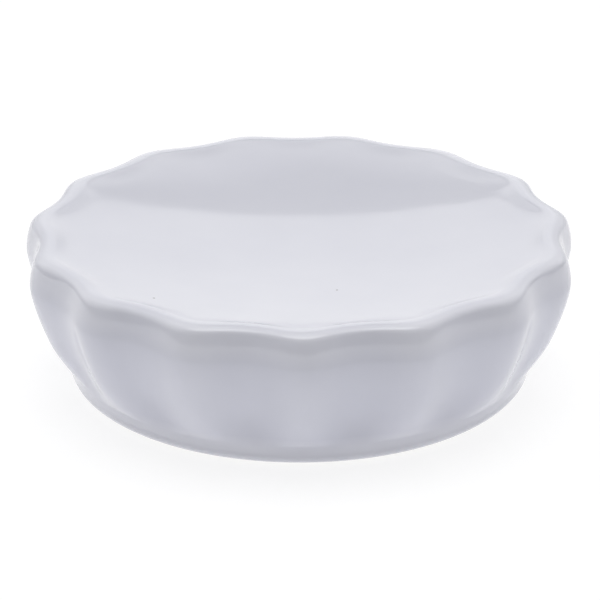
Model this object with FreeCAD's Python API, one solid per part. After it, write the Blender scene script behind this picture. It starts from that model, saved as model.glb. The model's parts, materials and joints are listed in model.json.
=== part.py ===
import FreeCAD, Part
import math
import os

# Round soap dish: a hollow cast ceramic body with fluted sides, a scalloped rim and a shallow basin.
# A soft plug closes the casting hole in its bottom, and four soft feet are stuck into its recess.
# Millimetres, +Z up, origin on the table under the middle of the dish.

# Base ring: the plain band at the bottom of the wall
base_radius = 50.5
base_height = 4.8
base_flare = 0.6          # how far the band leans out over its height
base_round = 2.5          # rounding of the bottom outer edge

# Fluted wall above the base ring
wall_height = 21.2        # from the base ring to the widest place
wall_flare = 7.6          # how far the wall swells out over that height
wall_bow = 1.4            # power of its curve; 1 is a cone
flute_count = 15
flute_height = 1.25       # ridge above the mean wall, and groove below it
flute_run = 8.7           # height in which the flutes grow to full depth
ridge_sharpness = 0.07    # narrows the ridges and widens the grooves

# Rim and basin: roundings that run into each other with no crease, from the widest place inwards
shoulder_round = 16.3     # gentle bend of the wall's top
shoulder_turn = 20.0      # lean of the surface where the shoulder ends, in degrees from upright
edge_round = 1.8          # outer edge of the rim
edge_turn = 75.0          # lean where the outer edge ends
crown_round = 6.0         # broad top of the rim
lip_angle = 18.0          # slope of the rim where it dips into the basin, in degrees
lip_round = 40.0          # hollow rounding between the rim and the floor
floor_angle = 11.2        # slope of the dished floor at its edge
rim_flute = 1.0           # flute height at the crest, from where it dies out towards the floor

# Shell and underside
shell = 4.0               # thickness of the cast wall
ring_width = 6.0          # flat foot ring
recess_depth = 1.5        # recess inside the foot ring
recess_chamfer = 0.6

# Feet and adhesive discs, in the recess
foot_count = 4
foot_radius = 5.0
foot_height = 2.0
foot_edge = 0.5           # rounding of the foot's lower edge
adhesive_radius = 4.6
adhesive_thickness = 0.3
foot_inset = 5.0          # gap from the foot to the wall of the recess

# Plug in the casting hole
hole_radius = 8.0
plug_clearance = 0.05     # all round the shank
plug_wall = 2.4
plug_web = 1.6            # closed end of the shank
plug_reach = 2.2          # how far the shank stands into the hollow
plug_lead = 0.8           # chamfer at the shank's end
flange_overlap = 3.0      # flange beyond the edge of the hole
flange_thickness = 1.2
tab_length = 5.0          # pull tab beyond the flange
tab_width = 9.0
tab_thickness = 0.8

# Heights above the table
ceiling_z = foot_height + adhesive_thickness
ring_z = ceiling_z - recess_depth
toe_z = ring_z + base_height
belly_z = toe_z + wall_height
plate_z = ceiling_z + shell

# Radii
toe_radius = base_radius + base_flare
belly_radius = toe_radius + wall_flare
recess_radius = base_radius - base_round - ring_width
foot_circle = recess_radius - foot_inset - foot_radius
flange_radius = hole_radius + flange_overlap
shank_radius = hole_radius - plug_clearance

# Rings and points that carry the curved surfaces
points_per_flute = 6
base_rings = 4
wall_rings = 10
wall_crowding = 1.5       # above 1, the rings lie closer together where the stretch begins
shoulder_rings = 5
edge_rings = 3
crown_rings = 3           # on each side of the crest
lip_rings = 4
floor_rings = 8
tip_radius = 0.4          # small flat in the middle of the basin
curve_steps = 12

origin = FreeCAD.Vector(0, 0, 0)
up = FreeCAD.Vector(0, 0, 1)


def spread(count, crowding=1.0):
    # Shares of a stretch, without its start
    return [((i + 1) / count) ** crowding for i in range(count)]


def at(radius, z, angle=0.0):
    # Angles are counted from the front of the dish, towards its right
    return FreeCAD.Vector(radius * math.sin(angle), -radius * math.cos(angle), z)


def wall_radius(z):
    share = max(0.0, (belly_z - z) / wall_height)
    return belly_radius - wall_flare * share ** wall_bow


def wall_flute(z):
    growth = min(1.0, (z - toe_z) / flute_run)
    return flute_height * math.sin(math.pi / 2 * growth)


def on_rounding(start, rounding, start_turn, turn):
    # Place where a rounding has turned to an angle: 0 faces outwards, 90 up; a hollow one is below zero
    before = math.radians(start_turn)
    after = math.radians(turn)
    radius = start[0] + rounding * (math.cos(after) - math.cos(before))
    return radius, start[1] + rounding * (math.sin(after) - math.sin(before))


# Where the roundings of the rim and basin meet, as radius and height
lip_turn = 90 + lip_angle
floor_turn = 90 + floor_angle
belly = (belly_radius, belly_z)
shoulder_end = on_rounding(belly, shoulder_round, 0, shoulder_turn)
edge_end = on_rounding(shoulder_end, edge_round, shoulder_turn, edge_turn)
crest = on_rounding(edge_end, crown_round, edge_turn, 90)
lip_top = on_rounding(crest, crown_round, 90, lip_turn)
lip_foot = on_rounding(lip_top, -lip_round, lip_turn, floor_turn)
floor_round = lip_foot[0] / math.sin(math.radians(floor_angle))
tip_turn = 90 + math.degrees(math.asin(tip_radius / floor_round))

roundings = [
    (belly, shoulder_round, 0, shoulder_turn, shoulder_rings),
    (shoulder_end, edge_round, shoulder_turn, edge_turn, edge_rings),
    (edge_end, crown_round, edge_turn, 90, crown_rings),
    (crest, crown_round, 90, lip_turn, crown_rings),
    (lip_top, -lip_round, lip_turn, floor_turn, lip_rings),
]


def rim_wave(radius, turn):
    # Flute height over the rim: it eases towards the crest and dies out at the edge of the floor
    if turn < 90:
        return flute_height + (rim_flute - flute_height) * turn / 90
    share = (radius - lip_foot[0]) / (crest[0] - lip_foot[0])
    return rim_flute * share ** 2 * (3 - 2 * share)


def skin_rings():
    # Mean radius, height and flute height of each ring, from the foot ring over the rim to the floor
    rings = [(base_radius - base_round, ring_z, 0.0)]
    for share in spread(base_rings):
        turn = math.pi / 2 * share
        radius = base_radius - base_round * (1 - math.sin(turn))
        rings.append((radius, ring_z + base_round * (1 - math.cos(turn)), 0.0))
    rings.append((toe_radius, toe_z, 0.0))
    for share in spread(wall_rings, wall_crowding):
        z = toe_z + wall_height * share
        rings.append((wall_radius(z), z, wall_flute(z)))
    for start, rounding, start_turn, end_turn, count in roundings:
        for share in spread(count):
            turn = start_turn + (end_turn - start_turn) * share
            radius, z = on_rounding(start, rounding, start_turn, turn)
            rings.append((radius, z, rim_wave(radius, turn)))
    return rings


def floor_ring(share):
    turn = floor_turn + (tip_turn - floor_turn) * share
    radius, z = on_rounding(lip_foot, -floor_round, floor_turn, turn)
    return radius, z, 0.0


def ring_wire(mean, z, flute):
    count = flute_count * points_per_flute
    points = []
    for i in range(count):
        angle = 2 * math.pi * i / count
        wave = math.cos(flute_count * angle) + ridge_sharpness * math.cos(2 * flute_count * angle)
        points.append(at(mean + flute * wave, z, angle))
    curve = Part.BSplineCurve()
    even = [float(i) for i in range(count + 1)]
    curve.interpolate(Points=points, Parameters=even, PeriodicFlag=True)
    return Part.Wire([curve.toShape()])


def turned(*corners, curve=()):
    # Solid of revolution of radius and height pairs: a smooth curve, if any, then straight runs
    corners = [at(radius, z) for radius, z in corners]
    edges = []
    if curve:
        curve = [at(radius, z) for radius, z in curve]
        line = Part.BSplineCurve()
        line.interpolate(curve)
        edges = [line.toShape()]
        corners = [curve[-1]] + corners + [curve[0]]
    else:
        corners = corners + corners[:1]
    edges += [Part.makeLine(a, b) for a, b in zip(corners, corners[1:])]
    return Part.Face(Part.Wire(edges)).revolve(origin, up, 360)


def hollow():
    # The space in the cast shell: inside the wall, above the bottom plate and below the basin
    heights = [plate_z + (belly_z - plate_z) * share for share in [0] + spread(curve_steps)]
    inset = shell + flute_height
    inner_wall = [(wall_radius(z) - inset, z) for z in heights]
    core = turned((0, belly_z), (0, plate_z), curve=inner_wall)
    basin_back = []
    for share in [0] + spread(curve_steps):
        radius, z = on_rounding(lip_foot, -floor_round, floor_turn, 90 + floor_angle * share)
        basin_back.append((radius, z - shell))
    outside = (belly_radius, lip_foot[1] - shell)
    above = turned(outside, (belly_radius, crest[1]), (0, crest[1]), curve=basin_back)
    return core.cut(above)


def ceramic_body():
    skin = [ring_wire(*ring) for ring in skin_rings()]
    floor = skin[-1:] + [ring_wire(*floor_ring(share)) for share in spread(floor_rings)]
    ends = [Part.Face(skin[0]), Part.Face(floor[-1])]
    shell_faces = Part.makeLoft(skin).Faces + Part.makeLoft(floor).Faces + ends
    skin_shell = Part.Shell(shell_faces)
    skin_shell.sewShape()
    outside = Part.Solid(skin_shell)
    mouth_radius = recess_radius + recess_chamfer
    recess = turned((0, 0), (mouth_radius, 0), (mouth_radius, ring_z),
                    (recess_radius, ring_z + recess_chamfer), (recess_radius, ceiling_z), (0, ceiling_z))
    hole = Part.makeCylinder(hole_radius, plate_z)
    return outside.cut(recess.fuse(hollow()).fuse(hole)).Solids[0]


def vent_plug():
    flange_z = ceiling_z - flange_thickness
    tip_z = plate_z + plug_reach
    bore_radius = shank_radius - plug_wall
    stopper = turned((0, flange_z), (flange_radius, flange_z), (flange_radius, ceiling_z),
                     (shank_radius, ceiling_z), (shank_radius, tip_z - plug_lead),
                     (shank_radius - plug_lead, tip_z), (bore_radius, tip_z),
                     (bore_radius, flange_z + plug_web), (0, flange_z + plug_web))
    reach = flange_radius + tab_length - tab_width / 2
    tab = Part.makeBox(reach, tab_width, tab_thickness, FreeCAD.Vector(0, -tab_width / 2, flange_z))
    tab_end = Part.makeCylinder(tab_width / 2, tab_thickness, FreeCAD.Vector(reach, 0, flange_z))
    return stopper.fuse(tab).fuse(tab_end).removeSplitter().Solids[0]


def foot(centre):
    pad = Part.makeCylinder(foot_radius, foot_height, centre)
    lower_edge = [edge for edge in pad.Edges if edge.BoundBox.ZMax < foot_height / 2]
    return pad.makeFillet(foot_edge, lower_edge)


def adhesive(centre):
    return Part.makeCylinder(adhesive_radius, adhesive_thickness, centre + up * foot_height)


def save(name, shape):
    print(f"{name}: {shape.Volume:.1f} mm3, {len(shape.Solids)} solid, valid {shape.isValid()}")
    shape.exportStep(f"parts/{name}.step")


os.makedirs("parts", exist_ok=True)
save("ceramic_body", ceramic_body())
save("vent_plug", vent_plug())
for i in range(foot_count):
    centre = at(foot_circle, 0, 2 * math.pi * (i + 0.5) / foot_count)
    save(f"foot_{i + 1}", foot(centre))
    save(f"foot_adhesive_{i + 1}", adhesive(centre))
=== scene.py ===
import bpy
import json
import math
import numpy as np
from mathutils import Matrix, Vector

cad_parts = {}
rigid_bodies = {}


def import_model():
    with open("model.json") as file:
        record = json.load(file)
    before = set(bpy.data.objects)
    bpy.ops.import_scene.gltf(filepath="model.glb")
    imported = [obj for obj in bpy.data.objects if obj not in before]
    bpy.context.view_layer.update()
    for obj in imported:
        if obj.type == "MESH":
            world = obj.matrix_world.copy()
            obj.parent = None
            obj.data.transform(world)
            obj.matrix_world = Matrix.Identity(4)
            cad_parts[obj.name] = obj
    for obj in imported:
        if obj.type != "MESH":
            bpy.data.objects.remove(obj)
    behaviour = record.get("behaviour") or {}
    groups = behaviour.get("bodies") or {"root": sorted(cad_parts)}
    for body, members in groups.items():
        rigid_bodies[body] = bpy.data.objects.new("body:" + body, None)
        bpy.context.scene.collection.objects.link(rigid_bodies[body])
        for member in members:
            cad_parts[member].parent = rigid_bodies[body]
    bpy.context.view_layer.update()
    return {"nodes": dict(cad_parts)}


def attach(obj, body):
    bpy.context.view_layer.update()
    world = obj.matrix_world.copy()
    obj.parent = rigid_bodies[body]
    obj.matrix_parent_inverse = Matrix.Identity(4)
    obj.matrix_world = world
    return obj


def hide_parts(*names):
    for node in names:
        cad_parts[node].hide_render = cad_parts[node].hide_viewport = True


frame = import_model()
print("frame loaded:", len(frame["nodes"]), "nodes")

mm = 0.001  # shapes are worked out in millimetres


# Surface helpers

def roundingRun(start, rounding, startTurn, endTurn, count):
    # Points of a circular rounding: start plus the radius times the change of cosine and sine of the turn.
    # A turn of 0 faces outwards and 90 faces up; a hollow rounding has a radius below zero.
    turn = np.radians(np.linspace(startTurn, endTurn, count + 1)[1:])
    before = math.radians(startTurn)
    radius = start[0] + rounding * (np.cos(turn) - math.cos(before))
    height = start[1] + rounding * (np.sin(turn) - math.sin(before))
    return np.column_stack([radius, height])


def bentRun(corners, bend, steps=5):
    # Straight runs with soft corners: each inner corner becomes a quadratic curve that leaves one run and
    # joins the next at the distance bend from the corner.
    corners = np.asarray(corners, float)
    middle = corners[1:-1]
    reach = np.broadcast_to(np.asarray(bend, float), len(middle))[:, None]
    back, ahead = corners[:-2] - middle, corners[2:] - middle
    start = middle + back / np.linalg.norm(back, axis=1, keepdims=True) * reach
    end = middle + ahead / np.linalg.norm(ahead, axis=1, keepdims=True) * reach
    t = np.linspace(0, 1, steps)[None, :, None]
    curve = (1 - t) ** 2 * start[:, None] + 2 * t * (1 - t) * middle[:, None] + t ** 2 * end[:, None]
    return np.vstack([corners[:1], curve.reshape(-1, 2), corners[-1:]])


def roundAngles(count):
    # Angles from the front of the dish, towards its right
    return 2 * math.pi * np.arange(count) / count


def ringPoints(radius, angle, height, centre=(0.0, 0.0)):
    # A ring's point is its radius along sine and minus cosine of the angle, at its height
    radius, angle, height = np.broadcast_arrays(radius, angle, height)
    x = centre[0] + radius * np.sin(angle)
    y = centre[1] - radius * np.cos(angle)
    return np.stack([x, y, height], -1) * mm


def ringMesh(name, points):
    # Rows of rings, joined by quads; the first and the last ring close in a fan round their own centre
    rows, columns = points.shape[:2]
    poles = points[[0, -1]].mean(1)
    row, column = np.meshgrid(np.arange(rows - 1), np.arange(columns), indexing="ij")
    after = (column + 1) % columns
    low, high = row * columns, (row + 1) * columns
    quads = np.stack([low + column, low + after, high + after, high + column], -1).reshape(-1, 4)
    near = np.arange(columns)
    ahead = (near + 1) % columns
    top = (rows - 1) * columns
    firstFan = np.column_stack([np.full(columns, rows * columns), ahead, near])
    lastFan = np.column_stack([top + near, top + ahead, np.full(columns, rows * columns + 1)])
    mesh = bpy.data.meshes.new(name)
    vertices = np.vstack([points.reshape(-1, 3), poles])
    mesh.from_pydata(vertices.tolist(), [], quads.tolist() + firstFan.tolist() + lastFan.tolist())
    mesh.polygons.foreach_set("use_smooth", np.ones(len(mesh.polygons), bool))
    mesh.update()
    piece = bpy.data.objects.new(name, mesh)
    bpy.context.scene.collection.objects.link(piece)
    return piece


def pointValue(piece, name, values):
    # One number per ring point, with the ring's mean at the two poles
    full = np.concatenate([values.ravel(), values[0].mean(keepdims=True), values[-1].mean(keepdims=True)])
    layer = piece.data.attributes.new(name, "FLOAT", "POINT")
    layer.data.foreach_set("value", full.astype(np.float32))


def place(piece, body, node):
    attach(piece, body)
    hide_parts(node)


# Node helpers

class NodeDesk:
    # Lays nodes out in one tree and links them
    def __init__(self, tree):
        self.tree = tree
        self.count = 0

    def add(self, kind, settings=None, **sockets):
        node = self.tree.nodes.new("ShaderNode" + kind)
        node.location = (220 * (self.count % 8), -260 * (self.count // 8))
        self.count += 1
        for key, value in (settings or {}).items():
            setattr(node, key, value)
        for key, value in sockets.items():
            self.feed(node.inputs[key.replace("_", " ")], value)
        return node

    def feed(self, socket, value):
        if isinstance(value, bpy.types.NodeSocket):
            self.tree.links.new(value, socket)
        else:
            socket.default_value = value

    def math(self, operation, first, second=0.0, clamp=False):
        node = self.add("Math", {"operation": operation, "use_clamp": clamp})
        self.feed(node.inputs[0], first)
        self.feed(node.inputs[1], second)
        return node.outputs[0]

    def remap(self, value, fromMin, fromMax, toMin=0.0, toMax=1.0):
        node = self.add("MapRange", {"interpolation_type": "SMOOTHSTEP"}, Value=value, From_Min=fromMin,
                        From_Max=fromMax, To_Min=toMin, To_Max=toMax)
        return node.outputs[0]

    def blend(self, factor, first, second):
        node = self.add("Mix", {"data_type": "RGBA"})
        for name, value in (("Factor_Float", factor), ("A_Color", first), ("B_Color", second)):
            self.feed(next(s for s in node.inputs if s.identifier == name), value)
        return next(s for s in node.outputs if s.identifier == "Result_Color")


def newGroup(name, inputs, outputs):
    tree = bpy.data.node_groups.new(name, "ShaderNodeTree")
    for direction, sockets in (("INPUT", inputs), ("OUTPUT", outputs)):
        for label, kind in sockets:
            tree.interface.new_socket(name=label, in_out=direction, socket_type="NodeSocket" + kind)
    desk = NodeDesk(tree)
    return desk, tree.nodes.new("NodeGroupInput"), tree.nodes.new("NodeGroupOutput")


grainLook = dict(detail=4.0, roughness=0.6, patchDetail=2.0, patchEdges=(0.3, 0.7), fleckCore=0.5)


def makeGrain(look):
    # Fine grain as a height and broad patches as a mask, for clay and moulded pieces
    inputs = [("Vector", "Vector"), ("Scale", "Float"), ("Patch Scale", "Float")]
    desk, inside, out = newGroup("fineGrain", inputs, [("Height", "Float"), ("Patch", "Float")])
    where = inside.outputs["Vector"]
    grain = desk.add("TexNoise", Vector=where, Scale=inside.outputs["Scale"], Detail=look["detail"],
                     Roughness=look["roughness"])
    patch = desk.add("TexNoise", Vector=where, Scale=inside.outputs["Patch Scale"],
                     Detail=look["patchDetail"])
    desk.feed(out.inputs["Height"], grain.outputs[0])
    desk.feed(out.inputs["Patch"], desk.remap(patch.outputs[0], *look["patchEdges"]))
    return desk.tree


def makeFleck(look):
    # A mask that is 1 near a point and fades out towards the given radius
    inputs = [("Vector", "Vector"), ("Centre", "Vector"), ("Radius", "Float")]
    desk, inside, out = newGroup("clayFleck", inputs, [("Mask", "Float")])
    gap = desk.add("VectorMath", {"operation": "DISTANCE"})
    desk.feed(gap.inputs[0], inside.outputs["Vector"])
    desk.feed(gap.inputs[1], inside.outputs["Centre"])
    share = desk.math("DIVIDE", gap.outputs["Value"], inside.outputs["Radius"])
    desk.feed(out.inputs["Mask"], desk.remap(share, look["fleckCore"], 1.0, 1.0, 0.0))
    return desk.tree


fineGrain = makeGrain(grainLook)
clayFleck = makeFleck(grainLook)


def newMaterial(name):
    material = bpy.data.materials.new(name)
    material.use_nodes = True
    desk = NodeDesk(material.node_tree)
    shader = material.node_tree.nodes["Principled BSDF"]
    coordinates = desk.add("TexCoord").outputs["Object"]
    return material, desk, shader, coordinates


# Ceramic body: fluted wall, rolled rim and dished basin over a hollow casting

ceramicBody = dict(
    baseRadius=50.5, baseHeight=4.8, baseFlare=0.6, baseRound=2.5,
    wallHeight=21.2, wallFlare=7.6, wallBow=1.4,
    fluteCount=15, fluteHeight=1.25, fluteRun=8.7, ridgeSharpness=0.07, rimFlute=1.0,
    shoulderRound=16.3, shoulderTurn=20.0, edgeRound=1.8, edgeTurn=75.0,
    crownRound=6.0, lipAngle=18.0, lipRound=40.0, floorAngle=11.2,
    floorEnd=0.2,          # slope at which the floor closes in a fan, in degrees
    shell=4.0, ringWidth=6.0, ringHeight=0.8, recessDepth=1.5, recessChamfer=0.6, holeRadius=8.0,
    ceilingStart=1.5, ceilingEnd=42.0,  # radii of the top of the hollow
    innerTop=1.5, innerFoot=2.5,        # the hollow's wall, below the widest place and above the plate
    bends=dict(top=1.0, wall=0.5, plate=1.5, holeTop=0.5, holeFoot=0.4, recess=0.4, chamfer=0.15,
               mouth=0.25),
    rows=dict(ceiling=7, inner=7, bend=4, baseRound=9, base=4, wall=40, shoulder=14, edge=12, crownOut=7,
              crownIn=9, lip=9, floor=26),
    wallCrowding=1.3,      # above 1, the wall's rows lie closer together at the toe
    columns=450,
    fluteUneven=0.05,      # share by which one flute differs from the next
    unevenWaves=((0.6, 4, 1.2), (0.4, 7, 0.3)),  # share, waves round the dish and phase
    fluteDrift=0.003,      # radians by which a ridge strays
    driftWaves=3, driftPhase=0.6,
    rimSag=0.07,           # rise and fall of the rim, in millimetres
    sagPhase=1.0,
    outOfRound=0.05,       # millimetres
    ovalPhase=0.5,
)

# Depth of the glaze, from 0 for thin to 1 for deep, with painted shade on the wall and painted light on the
# base band
glazeDepthAndShade = dict(
    mean=0.38,
    crease=0.12, creaseReach=1.3,          # gain in the crease at the toe; millimetres
    edge=0.30, edgeReach=0.7,              # loss over the rim's edge; share of the edge's rows
    band=0.38,                             # painted light: loss on the base band, which makes the band lighter
    wall=0.90, wallStart=0.8, wallEase=3.0,  # painted shade: gain from the band to the wall, which darkens the wall; millimetres
    ridge=0.18,                            # loss on the ridges and gain in the grooves
    ringBand=0.12,                         # bare clay lies this near the foot ring's face, in millimetres
)


def bodySection(size, depthsAndShade):
    # Rows of radius, height, flute height, glaze depth with painted shade and light, and bare clay, from
    # the top of the hollow, down inside, out under the foot ring, up the wall, over the rim and down to the
    # middle of the basin
    rows, bends = size["rows"], size["bends"]
    ringZ = size["ringHeight"]
    toeZ = ringZ + size["baseHeight"]
    bellyZ = toeZ + size["wallHeight"]
    ceilingZ = ringZ + size["recessDepth"]
    plateZ = ceilingZ + size["shell"]
    toeRadius = size["baseRadius"] + size["baseFlare"]
    bellyRadius = toeRadius + size["wallFlare"]
    footEdge = size["baseRadius"] - size["baseRound"]
    recessRadius = footEdge - size["ringWidth"]
    mouthRadius = recessRadius + size["recessChamfer"]

    def wallRadius(z):
        # The wall leaves the belly by its flare times a power of the share of the height
        share = np.clip((bellyZ - z) / size["wallHeight"], 0, 1)
        return bellyRadius - size["wallFlare"] * share ** size["wallBow"]

    # Rim and basin as tangent roundings
    shoulderTurn, edgeTurn = size["shoulderTurn"], size["edgeTurn"]
    lipTurn, floorTurn = 90 + size["lipAngle"], 90 + size["floorAngle"]
    belly = (bellyRadius, bellyZ)
    shoulder = roundingRun(belly, size["shoulderRound"], 0, shoulderTurn, rows["shoulder"])
    edge = roundingRun(shoulder[-1], size["edgeRound"], shoulderTurn, edgeTurn, rows["edge"])
    crownOut = roundingRun(edge[-1], size["crownRound"], edgeTurn, 90, rows["crownOut"])
    crownIn = roundingRun(crownOut[-1], size["crownRound"], 90, lipTurn, rows["crownIn"])
    lip = roundingRun(crownIn[-1], -size["lipRound"], lipTurn, floorTurn, rows["lip"])
    floorRound = lip[-1, 0] / math.sin(math.radians(size["floorAngle"]))
    floor = roundingRun(lip[-1], -floorRound, floorTurn, 90 + size["floorEnd"], rows["floor"])

    # Hollow, bottom plate, casting hole, recess and foot ring; the hollow's top is a parabola
    ceilingRadius = np.linspace(size["ceilingStart"], size["ceilingEnd"], rows["ceiling"])
    ceilingTop = floor[-1, 1] - size["shell"]
    ceiling = np.column_stack([ceilingRadius, ceilingTop + ceilingRadius ** 2 / (2 * floorRound)])
    inset = size["shell"] + size["fluteHeight"]
    innerZ = np.linspace(bellyZ - size["innerTop"], plateZ + size["innerFoot"], rows["inner"])
    corners = [ceiling[-1], (bellyRadius - inset, bellyZ), *zip(wallRadius(innerZ) - inset, innerZ),
               (wallRadius(plateZ) - inset, plateZ), (size["holeRadius"], plateZ),
               (size["holeRadius"], ceilingZ), (recessRadius, ceilingZ),
               (recessRadius, ringZ + size["recessChamfer"]), (mouthRadius, ringZ), (footEdge, ringZ)]
    reach = [bends["top"]] + [bends["wall"]] * rows["inner"] + [
        bends[name] for name in ("plate", "holeTop", "holeFoot", "recess", "chamfer", "mouth")]
    inside = bentRun(corners, reach, rows["bend"])[1:]

    # Outside of the base ring and the wall
    baseRound = roundingRun((footEdge, ringZ), size["baseRound"], -90, 0, rows["baseRound"])
    climb = np.linspace(0, 1, rows["base"] + 1)[1:, None]
    base = baseRound[-1] + (np.array([toeRadius, toeZ]) - baseRound[-1]) * climb
    wallShare = np.linspace(0, 1, rows["wall"] + 1)[1:] ** size["wallCrowding"]
    wallZ = toeZ + size["wallHeight"] * wallShare
    wall = np.column_stack([wallRadius(wallZ), wallZ])

    hidden = np.vstack([ceiling, inside])
    band = np.vstack([baseRound, base])
    rim = np.vstack([shoulder, edge, crownOut])
    inner = np.vstack([crownIn, lip])
    section = np.vstack([hidden, band, wall, rim, inner, floor])
    radius, height = section[:, 0], section[:, 1]

    # Flutes grow as a sine of the height above the toe, ease over the rim and die out smoothly to the floor
    growth = np.clip((wallZ - toeZ) / size["fluteRun"], 0, 1)
    turn = np.concatenate([np.linspace(0, shoulderTurn, rows["shoulder"] + 1)[1:],
                           np.linspace(shoulderTurn, edgeTurn, rows["edge"] + 1)[1:],
                           np.linspace(edgeTurn, 90, rows["crownOut"] + 1)[1:]])
    fade = (inner[:, 0] - lip[-1, 0]) / (crownOut[-1, 0] - lip[-1, 0])
    flute = np.concatenate([
        np.zeros(len(hidden) + len(band)),
        size["fluteHeight"] * np.sin(math.pi / 2 * growth),
        size["fluteHeight"] + (size["rimFlute"] - size["fluteHeight"]) * turn / 90,
        size["rimFlute"] * fade ** 2 * (3 - 2 * fade),
        np.zeros(len(floor))])

    # Glaze gathers in the crease at the toe and thins over the rim's edge, both as a bell curve; through
    # the deep colour the crease also takes painted shade
    number = np.arange(len(section))
    outside = number >= len(hidden)
    crease = depthsAndShade["crease"] * np.exp(-((height - toeZ) / depthsAndShade["creaseReach"]) ** 2) * outside
    edgeStart = len(hidden) + len(band) + len(wall) + len(shoulder)
    edgePlace = (number - edgeStart - len(edge) / 2) / len(edge)
    thinEdge = depthsAndShade["edge"] * np.exp(-(edgePlace / depthsAndShade["edgeReach"]) ** 2)
    # Painted shade and light: the wall gets a deeper, darker glaze and the base band below it a thinner,
    # lighter one
    ease = depthsAndShade["wallEase"]
    rise = np.clip((height - toeZ + depthsAndShade["wallStart"]) / ease, 0, 1)
    onWall = np.clip((bellyZ + ease - height) / ease, 0, 1) * outside * (radius > footEdge)
    depthAndShade = depthsAndShade["mean"] + crease + (depthsAndShade["wall"] * rise - depthsAndShade["band"]) * onWall - thinEdge
    bare = (np.abs(height - ringZ) < depthsAndShade["ringBand"]) & (radius > recessRadius)
    return radius, height, flute, depthAndShade, bare.astype(float)


def makeBody(size, depthsAndShade):
    radius, height, flute, depthAndShade, bare = (column[:, None] for column in bodySection(size, depthsAndShade))
    angle = roundAngles(size["columns"])[None, :]
    # Each ring is its mean radius plus the flute height times a cosine and its sharper overtone;
    # the ridges stray a little and differ a little in height, as on a real casting
    stray = size["fluteDrift"] * np.sin(size["driftWaves"] * angle + size["driftPhase"])
    strayed = size["fluteCount"] * (angle + stray)
    wave = np.cos(strayed) + size["ridgeSharpness"] * np.cos(2 * strayed)
    ripple = sum(share * np.sin(count * angle + phase) for share, count, phase in size["unevenWaves"])
    uneven = 1 + size["fluteUneven"] * ripple
    # The ring is a little oval and the rim rises and falls, more so higher up and further out
    lean = np.clip(height / height.max(), 0, 1) ** 2
    outward = radius / radius.max()
    oval = size["outOfRound"] * np.cos(2 * angle + size["ovalPhase"]) * lean * outward
    sag = size["rimSag"] * np.sin(2 * angle + size["sagPhase"]) * lean * outward ** 4
    points = ringPoints(radius + flute * uneven * wave + oval, angle, height + sag)
    piece = ringMesh("glazedBody", points)
    ridgeLoss = depthsAndShade["ridge"] * wave * flute / size["fluteHeight"]
    pointValue(piece, "glazeDepthAndShade", np.clip(depthAndShade - ridgeLoss, 0, 1))
    pointValue(piece, "bareClay", np.broadcast_to(bare, points.shape[:2]))
    return piece


glaze = dict(
    # The deep colour is darker and more lavender than the thin one: deeper glaze and painted shade
    thin=(0.815, 0.821, 0.890, 1), deepAndShaded=(0.695, 0.704, 0.790, 1),
    clay=(0.79, 0.76, 0.70, 1), clayPatch=0.93, fleck=(0.26, 0.25, 0.27, 1),
    gloss=0.07, glossSpread=(-0.01, 0.02), clayRoughness=0.72, ior=1.55,
    cloudScale=38.0, cloudDetail=3.0, cloudRoughness=0.5, cloudEdges=(0.3, 0.7),
    cloudDepth=0.7,                       # how much the clouds change the depth of the glaze
    ragged=0.5, raggedEdges=(0.42, 0.58),  # border between glaze and bare clay
    grainScale=1800.0, patchScale=160.0,
    waveScale=120.0, waveDetail=2.0, waveRoughness=0.4, waveStrength=0.35, waveHeight=0.00006,
    gritStrength=0.6, gritHeight=0.00012,
    flecks=[((-0.03052, -0.03426, 0.03171), 0.00034), ((0.00748, -0.02365, 0.02869), 0.00030)],
)


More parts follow.
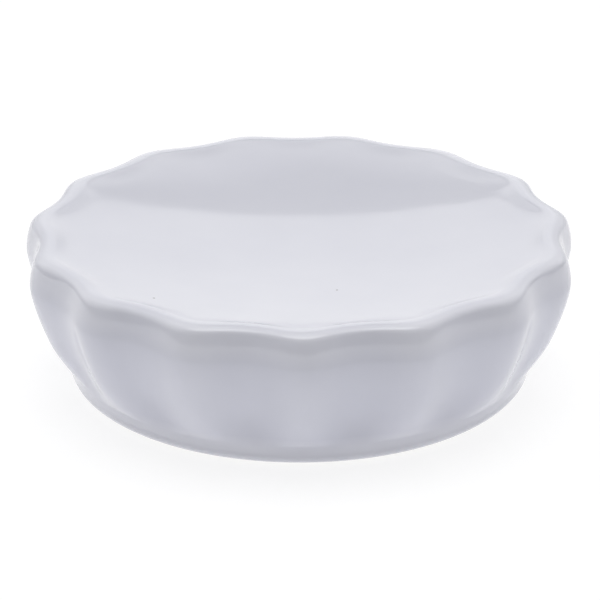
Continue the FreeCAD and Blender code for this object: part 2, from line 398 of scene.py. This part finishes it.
def glazeMaterial(look):
    material, desk, shader, where = newMaterial("whiteGlaze")
    depthAndShade = desk.add("Attribute", {"attribute_name": "glazeDepthAndShade"}).outputs["Fac"]
    bare = desk.add("Attribute", {"attribute_name": "bareClay"}).outputs["Fac"]
    cloud = desk.add("TexNoise", Vector=where, Scale=look["cloudScale"], Detail=look["cloudDetail"],
                     Roughness=look["cloudRoughness"]).outputs[0]
    drift = desk.math("SUBTRACT", cloud, 0.5)
    # Painted shade and light: the blend towards the deep colour follows glaze depth, and it darkens the
    # wall and lightens the base band
    gatherAndShade = desk.math("ADD", depthAndShade, desk.math("MULTIPLY", drift, look["cloudDepth"]), True)
    colour = desk.blend(gatherAndShade, look["thin"], look["deepAndShaded"])
    for centre, radius in look["flecks"]:
        fleck = desk.add("Group", {"node_tree": clayFleck}, Vector=where, Centre=centre, Radius=radius)
        colour = desk.blend(fleck.outputs["Mask"], colour, look["fleck"])
    grain = desk.add("Group", {"node_tree": fineGrain}, Vector=where, Scale=look["grainScale"],
                     Patch_Scale=look["patchScale"])
    ragged = desk.math("ADD", bare, desk.math("MULTIPLY", drift, look["ragged"]))
    unglazed = desk.remap(ragged, *look["raggedEdges"])
    patchClay = tuple(look["clayPatch"] * c for c in look["clay"][:3]) + (1,)
    clay = desk.blend(grain.outputs["Patch"], look["clay"], patchClay)
    desk.feed(shader.inputs["Base Color"], desk.blend(unglazed, colour, clay))
    less, more = look["glossSpread"]
    gloss = desk.remap(cloud, *look["cloudEdges"], look["gloss"] + less, look["gloss"] + more)
    roughness = desk.add("Mix", {"data_type": "FLOAT"}, Factor=unglazed)
    desk.feed(roughness.inputs["A"], gloss)
    desk.feed(roughness.inputs["B"], look["clayRoughness"])
    desk.feed(shader.inputs["Roughness"], roughness.outputs["Result"])
    # Long shallow waves left by the flowing glaze, and clay grain where there is none
    waves = desk.add("TexNoise", Vector=where, Scale=look["waveScale"], Detail=look["waveDetail"],
                     Roughness=look["waveRoughness"]).outputs[0]
    flow = desk.add("Bump", Height=waves, Strength=look["waveStrength"], Distance=look["waveHeight"])
    clayGrain = desk.math("MULTIPLY", grain.outputs["Height"], unglazed)
    grit = desk.add("Bump", Height=clayGrain, Strength=look["gritStrength"], Distance=look["gritHeight"],
                    Normal=flow.outputs[0])
    desk.feed(shader.inputs["Normal"], grit.outputs[0])
    shader.inputs["IOR"].default_value = look["ior"]
    return material


body = makeBody(ceramicBody, glazeDepthAndShade)
body.data.materials.append(glazeMaterial(glaze))
place(body, "dish", "ceramic_body")
print("ceramic body:", len(body.data.polygons), "faces")


# Vent plug: a soft stopper with a sealing bead and a pull tab

ventPlug = dict(
    holeRadius=8.0, clearance=0.05, wall=2.4, web=1.6, reach=2.2, lead=0.8,
    flangeOverlap=3.0, flangeThickness=1.2, tabLength=5.0, tabWidth=9.0, tabThickness=0.8,
    ceilingZ=2.3, plateZ=6.3,
    waistDepth=0.12, waistRise=0.5, waistFoot=0.4,  # waist under the bead, above and below the plate's top
    bends=(0.5, 0.3, 0.2, 0.25, 0.25, 0.25, 0.15),  # soft corners from the web to the flange
    flangeEdge=0.4, stepIn=0.30, stepLean=0.1,      # edge of the flange and its step down to the tab
    edge=0.3, tabBlend=1.2,
    grooveDepth=0.25, groovePitch=1.5, grooveStart=0.5, grooveEase=0.8, grooveMargin=0.6,
    hollowDepth=0.25, hollowInset=2.0,              # shallow hollow under the flange
    tip=0.8,                                        # radius at which the surface closes in a fan
    rows=dict(bend=4, step=5, top=7, edge=8, under=29), columns=240,
)


def makePlug(size):
    rows, edge, tip = size["rows"], size["edge"], size["tip"]
    angle = roundAngles(size["columns"])
    flange = size["holeRadius"] + size["flangeOverlap"]
    shank = size["holeRadius"] - size["clearance"]
    bore = shank - size["wall"]
    ceilingZ, plateZ = size["ceilingZ"], size["plateZ"]
    low = ceilingZ - size["flangeThickness"]
    webZ, tipZ = low + size["web"], plateZ + size["reach"]

    # Outline: the flange's circle, or the round-ended tab where that reaches further out along +X
    half = size["tabWidth"] / 2
    tabCentre = flange + size["tabLength"] - half
    swing = angle - math.pi / 2
    ahead = np.cos(swing)
    side = tabCentre * np.sin(swing)
    roundEnd = tabCentre * ahead + np.sqrt(np.maximum(half ** 2 - side ** 2, 0))
    tab = np.where((ahead > 0) & (np.abs(side) < half), roundEnd, 0)
    # A soft maximum of the two fills the corner between them
    blend = size["tabBlend"]
    mix = np.clip(0.5 + 0.5 * (tab - flange) / blend, 0, 1)
    outline = flange + (tab - flange) * mix + 0.5 * blend * mix * (1 - mix)
    outline = np.maximum(outline, flange)

    # Inside of the bore from the middle of the web up to the tip, then down the shank
    waist = (shank - size["waistDepth"], plateZ + size["waistRise"])
    turnedRun = bentRun([(tip, webZ), (bore, webZ), (bore, tipZ), (shank - size["lead"], tipZ),
                         (shank, tipZ - size["lead"]), waist, (shank, plateZ - size["waistFoot"]),
                         (shank, ceilingZ), (flange - size["flangeEdge"], ceilingZ)],
                        size["bends"], rows["bend"])
    upper = np.repeat(turnedRun[:, :1], len(angle), 1)
    upperZ = np.repeat(turnedRun[:, 1:], len(angle), 1)
    # Step down to the tab, out over its top, round its edge and back under the flange
    tabTop = low + size["tabThickness"]
    stepShare = np.linspace(0, 1, rows["step"])[:, None]
    lean = size["stepLean"] * stepShare
    stepRadius = np.minimum(flange + lean, outline - size["stepIn"] + lean)
    stepZ = ceilingZ + (tabTop - ceilingZ) * stepShare + 0 * angle
    edgeStart = outline - edge
    outShare = np.linspace(0, 1, rows["top"] + 1)[1:, None]
    topRadius = stepRadius[-1] + (edgeStart - stepRadius[-1]) * outShare
    topZ = np.full(topRadius.shape, tabTop)
    edgeTurn = np.radians(np.linspace(90, -90, rows["edge"] + 1))[1:, None]
    edgeRadius = edgeStart + edge * np.cos(edgeTurn)
    halfTab = size["tabThickness"] / 2
    edgeZ = low + halfTab + halfTab * np.sin(edgeTurn) + 0 * angle
    underShare = np.linspace(0, 1, rows["under"] + 1)[1:, None]
    underRadius = edgeStart * (1 - underShare) + tip * underShare
    # Grip grooves across the tab: shallow cosine hollows along +X beyond the flange
    along = underRadius * ahead - flange
    beyond = np.clip((along + size["grooveStart"]) / size["grooveEase"], 0, 1)
    inTab = beyond * np.clip((edgeStart - underRadius) / size["grooveMargin"], 0, 1)
    groove = size["grooveDepth"] * (0.5 - 0.5 * np.cos(2 * math.pi * along / size["groovePitch"])) * inTab
    # The hollow under the flange is a paraboloid
    hollow = size["hollowDepth"] * np.clip(1 - (underRadius / (flange - size["hollowInset"])) ** 2, 0, 1)
    underZ = low + groove + hollow
    radius = np.vstack([upper, stepRadius, topRadius, edgeRadius, underRadius])
    height = np.vstack([upperZ, stepZ, topZ, edgeZ, underZ])
    return ringMesh("ventPlug", ringPoints(radius[::-1], angle, height[::-1]))


# Soft feet and the adhesive discs that hold them

softFoot = dict(
    count=4, circle=32.0, radius=5.0, height=2.0, edge=0.5,
    dishDepth=0.12, dishRadius=3.2, dishIn=0.5, dishOut=0.2, dishBend=0.25,  # moulded hollow underneath
    draft=0.05, draftStart=0.3, topBend=0.15,
    tip=0.4, rows=dict(bend=5, edge=8), columns=96,
)
adhesiveDisc = dict(radius=4.6, thickness=0.3, edge=0.08, ragged=0.004, tip=0.4, bendRows=5, columns=96)


def footCentre(number):
    # The feet stand evenly on a circle, the first one half a step from the front
    turn = 2 * math.pi / softFoot["count"] * (number - 0.5)
    return softFoot["circle"] * math.sin(turn), -softFoot["circle"] * math.cos(turn)


def makeFoot(size, number):
    # A turned pad with a rounded lower edge, a slight draft and a shallow moulded dish in its underside
    rows, dish, tip = size["rows"], size["dishRadius"], size["tip"]
    tread = (size["radius"] - size["edge"], 0.0)
    section = np.vstack([
        bentRun([(tip, size["dishDepth"]), (dish - size["dishIn"], size["dishDepth"]),
                 (dish + size["dishOut"], 0.0), tread], size["dishBend"], rows["bend"]),
        roundingRun(tread, size["edge"], -90, 0, rows["edge"]),
        bentRun([(size["radius"], size["edge"] + size["draftStart"]),
                 (size["radius"] - size["draft"], size["height"]), (tip, size["height"])],
                size["topBend"], rows["bend"])])
    points = ringPoints(section[:, :1], roundAngles(size["columns"]), section[:, 1:], footCentre(number))
    return ringMesh(f"softFoot{number}", points)


def makeDisc(size, number):
    # A thin turned disc whose cut edge is a little ragged: two sines multiplied take a share off its radius
    tip, radius = size["tip"], size["radius"]
    low, high = softFoot["height"], softFoot["height"] + size["thickness"]
    corners = [(tip, low), (radius, low), (radius, high), (tip, high)]
    section = bentRun(corners, size["edge"], size["bendRows"])
    angle = roundAngles(size["columns"])
    ragged = 1 - size["ragged"] * (1 + np.sin(5 * angle + number) * np.sin(11 * angle + 2 * number))
    points = ringPoints(section[:, :1] * ragged, angle, section[:, 1:], footCentre(number))
    return ringMesh(f"adhesiveDisc{number}", points)


rubber = dict(
    plug=dict(colour=(0.74, 0.75, 0.78, 1), worn=(0.66, 0.67, 0.71, 1), grain=2600.0, patch=180.0,
              roughness=(0.42, 0.56)),
    foot=dict(colour=(0.62, 0.64, 0.68, 1), worn=(0.54, 0.56, 0.60, 1), grain=2200.0, patch=240.0,
              roughness=(0.46, 0.62)),
    adhesive=dict(colour=(0.80, 0.80, 0.77, 1), worn=(0.72, 0.72, 0.68, 1), grain=3200.0, patch=420.0,
                  roughness=(0.60, 0.75)),
)
softGrain = dict(strength=0.5, height=0.00008)


def softMaterial(name, look):
    material, desk, shader, where = newMaterial(name)
    grain = desk.add("Group", {"node_tree": fineGrain}, Vector=where, Scale=look["grain"],
                     Patch_Scale=look["patch"])
    patch = grain.outputs["Patch"]
    desk.feed(shader.inputs["Base Color"], desk.blend(patch, look["colour"], look["worn"]))
    desk.feed(shader.inputs["Roughness"], desk.remap(patch, 0.0, 1.0, *look["roughness"]))
    bump = desk.add("Bump", Height=grain.outputs["Height"], Strength=softGrain["strength"],
                    Distance=softGrain["height"])
    desk.feed(shader.inputs["Normal"], bump.outputs[0])
    return material


plugRubber = softMaterial("plugRubber", rubber["plug"])
footRubber = softMaterial("footRubber", rubber["foot"])
adhesiveFoam = softMaterial("adhesiveFoam", rubber["adhesive"])

plug = makePlug(ventPlug)
plug.data.materials.append(plugRubber)
place(plug, "plug", "vent_plug")
for number in range(1, softFoot["count"] + 1):
    foot = makeFoot(softFoot, number)
    foot.data.materials.append(footRubber)
    place(foot, "dish", f"foot_{number}")
    disc = makeDisc(adhesiveDisc, number)
    disc.data.materials.append(adhesiveFoam)
    place(disc, "dish", f"foot_adhesive_{number}")
print("plug, feet and adhesive discs placed")


# Floor, light and camera

studio = dict(
    floorSize=6.0, floorColour=(0.72, 0.72, 0.73, 1), floorWhite=0.83, floorShade=0.317, floorGlow=0.56,
    floorRoughness=0.9, ambient=0.09,
    # Bright sheet behind the dish; its edges are given as parts of a unit direction
    backdrop=dict(level=1.28, top=0.50, topSoft=0.02, sideStart=0.50, sideEnd=0.80,
                  fadeStart=0.03, fadeEnd=0.24, sideLevel=0.26),
    boxes=dict(  # azimuth from the back towards the right, elevation, full and faded half angle, level
        leftBox=(-95, 30, 8, 30, 0.40),
        rightBox=(95, 30, 8, 30, 0.26),
        frontBox=(135, 28, 8, 30, 0.03),
        leftTop=(-100, 60, 10, 34, 0.20),
        rightTop=(100, 60, 10, 34, 0.26),
        topBox=(0, 86, 15, 25, 3.05),
        frontTop=(180, 66, 10, 34, 0.05),
        leftBack=(-46, 50, 26, 34, 0.68),
        rightBack=(46, 50, 26, 34, 0.68),
    ),
    # Pale panels beside a dark gap above the backdrop, seen in shiny surfaces only
    panels=dict(left=(-42, 50, 28, 31), right=(42, 50, 28, 31)), panelShine=0.44,
)


def makeSkyBox():
    # A soft round light in the sky: 1 within the full angle of its middle, fading to 0 at the outer one
    inputs = [("Direction", "Vector"), ("Middle", "Vector"), ("Full", "Float"), ("Faded", "Float")]
    desk, inside, out = newGroup("skyBox", inputs, [("Mask", "Float")])
    dot = desk.add("VectorMath", {"operation": "DOT_PRODUCT"})
    desk.feed(dot.inputs[0], inside.outputs["Direction"])
    desk.feed(dot.inputs[1], inside.outputs["Middle"])
    mask = desk.remap(dot.outputs["Value"], inside.outputs["Faded"], inside.outputs["Full"])
    desk.feed(out.inputs["Mask"], mask)
    return desk.tree


def skyDirection(azimuth, elevation):
    # Unit vector of an azimuth, counted from the back towards the right, and an elevation
    turn, rise = math.radians(azimuth), math.radians(elevation)
    return math.sin(turn) * math.cos(rise), math.cos(turn) * math.cos(rise), math.sin(rise)


def makeWorld(light):
    world = bpy.data.worlds.new("studio")
    bpy.context.scene.world = world
    world.use_nodes = True
    desk = NodeDesk(world.node_tree)
    background = world.node_tree.nodes["Background"]
    direction = desk.add("TexCoord").outputs["Generated"]
    split = desk.add("SeparateXYZ", Vector=direction)
    skyBox = makeSkyBox()
    drop = light["backdrop"]
    below = desk.remap(split.outputs["Z"], drop["top"], drop["top"] + drop["topSoft"], 1.0, 0.0)
    behind = desk.remap(split.outputs["Y"], drop["sideStart"], drop["sideEnd"])
    aside = desk.math("ABSOLUTE", split.outputs["X"])
    fade = desk.remap(aside, drop["fadeStart"], drop["fadeEnd"], 1.0, drop["sideLevel"])
    backdrop = desk.math("MULTIPLY", desk.math("MULTIPLY", below, behind), fade)
    total = desk.math("ADD", light["ambient"], desk.math("MULTIPLY", backdrop, drop["level"]))

    def boxMask(azimuth, elevation, full, faded):
        box = desk.add("Group", {"node_tree": skyBox}, Direction=direction,
                       Middle=skyDirection(azimuth, elevation),
                       Full=math.cos(math.radians(full)), Faded=math.cos(math.radians(faded)))
        return box.outputs["Mask"]

    for *where, level in light["boxes"].values():
        total = desk.math("ADD", total, desk.math("MULTIPLY", boxMask(*where), level))
    white = backdrop
    for where in light["panels"].values():
        white = desk.math("MAXIMUM", white, desk.math("MULTIPLY", boxMask(*where), light["panelShine"]))
    # The camera sees plain white; shiny and clear surfaces see the backdrop as white and the panels as pale
    path = desk.add("LightPath")
    shiny = desk.math("MAXIMUM", path.outputs["Is Glossy Ray"], path.outputs["Is Transmission Ray"])
    seesWhite = desk.math("MAXIMUM", path.outputs["Is Camera Ray"], desk.math("MULTIPLY", shiny, white))
    strength = desk.add("Mix", {"data_type": "FLOAT"}, Factor=seesWhite)
    desk.feed(strength.inputs["A"], total)
    desk.feed(strength.inputs["B"], 1.0)
    desk.feed(background.inputs["Strength"], strength.outputs["Result"])
    background.inputs["Color"].default_value = (1, 1, 1, 1)


def makeFloor(light):
    # A wide flat sheet that glows a little; the camera and shiny surfaces see it as white with part of
    # its real shading, so the shadow stays
    side = light["floorSize"] / 2
    corners = [(-side, -side, 0), (side, -side, 0), (side, side, 0), (-side, side, 0)]
    mesh = bpy.data.meshes.new("floor")
    mesh.from_pydata(corners, [], [(0, 1, 2, 3)])
    floor = bpy.data.objects.new("floor", mesh)
    bpy.context.scene.collection.objects.link(floor)
    material = bpy.data.materials.new("paleFloor")
    material.use_nodes = True
    desk = NodeDesk(material.node_tree)
    shader = material.node_tree.nodes["Principled BSDF"]
    shader.inputs["Base Color"].default_value = light["floorColour"]
    shader.inputs["Roughness"].default_value = light["floorRoughness"]
    shader.inputs["Specular IOR Level"].default_value = 0.0
    shader.inputs["Emission Color"].default_value = light["floorColour"]
    shader.inputs["Emission Strength"].default_value = light["floorGlow"]
    white = desk.add("Emission", Strength=light["floorWhite"])
    shade = tuple(light["floorShade"] * c for c in light["floorColour"][:3]) + (1,)
    seen = desk.add("BsdfDiffuse", Color=shade)
    both = desk.add("AddShader")
    desk.feed(both.inputs[0], white.outputs[0])
    desk.feed(both.inputs[1], seen.outputs[0])
    path = desk.add("LightPath")
    shiny = desk.math("MAXIMUM", path.outputs["Is Glossy Ray"], path.outputs["Is Transmission Ray"])
    choose = desk.add("MixShader")
    desk.feed(choose.inputs[0], desk.math("MAXIMUM", path.outputs["Is Camera Ray"], shiny))
    desk.feed(choose.inputs[1], shader.outputs[0])
    desk.feed(choose.inputs[2], both.outputs[0])
    desk.feed(material.node_tree.nodes["Material Output"].inputs["Surface"], choose.outputs[0])
    mesh.materials.append(material)


camera = dict(
    distance=0.6308, elevation=23.4, azimuth=-0.86, aim=(0.0, 0.0, 0.0171),
    lens=172.8, sensor=36, shift=(0.00055, -0.0064), nearest=0.01,
)


def makeCamera(view):
    data = bpy.data.cameras.new("photoCamera")
    eye = bpy.data.objects.new("photoCamera", data)
    bpy.context.scene.collection.objects.link(eye)
    aim = Vector(view["aim"])
    rise, turn = math.radians(view["elevation"]), math.radians(view["azimuth"])
    way = Vector((math.sin(turn) * math.cos(rise), -math.cos(turn) * math.cos(rise), math.sin(rise)))
    eye.location = aim + way * view["distance"]
    eye.rotation_euler = (-way).to_track_quat("-Z", "Y").to_euler()
    data.sensor_width = view["sensor"]
    data.lens = view["lens"]
    data.shift_x, data.shift_y = view["shift"]
    data.clip_start = view["nearest"]
    bpy.context.scene.camera = eye


makeWorld(studio)
makeFloor(studio)
makeCamera(camera)
bpy.context.scene.view_settings.view_transform = "Standard"
print("studio ready")
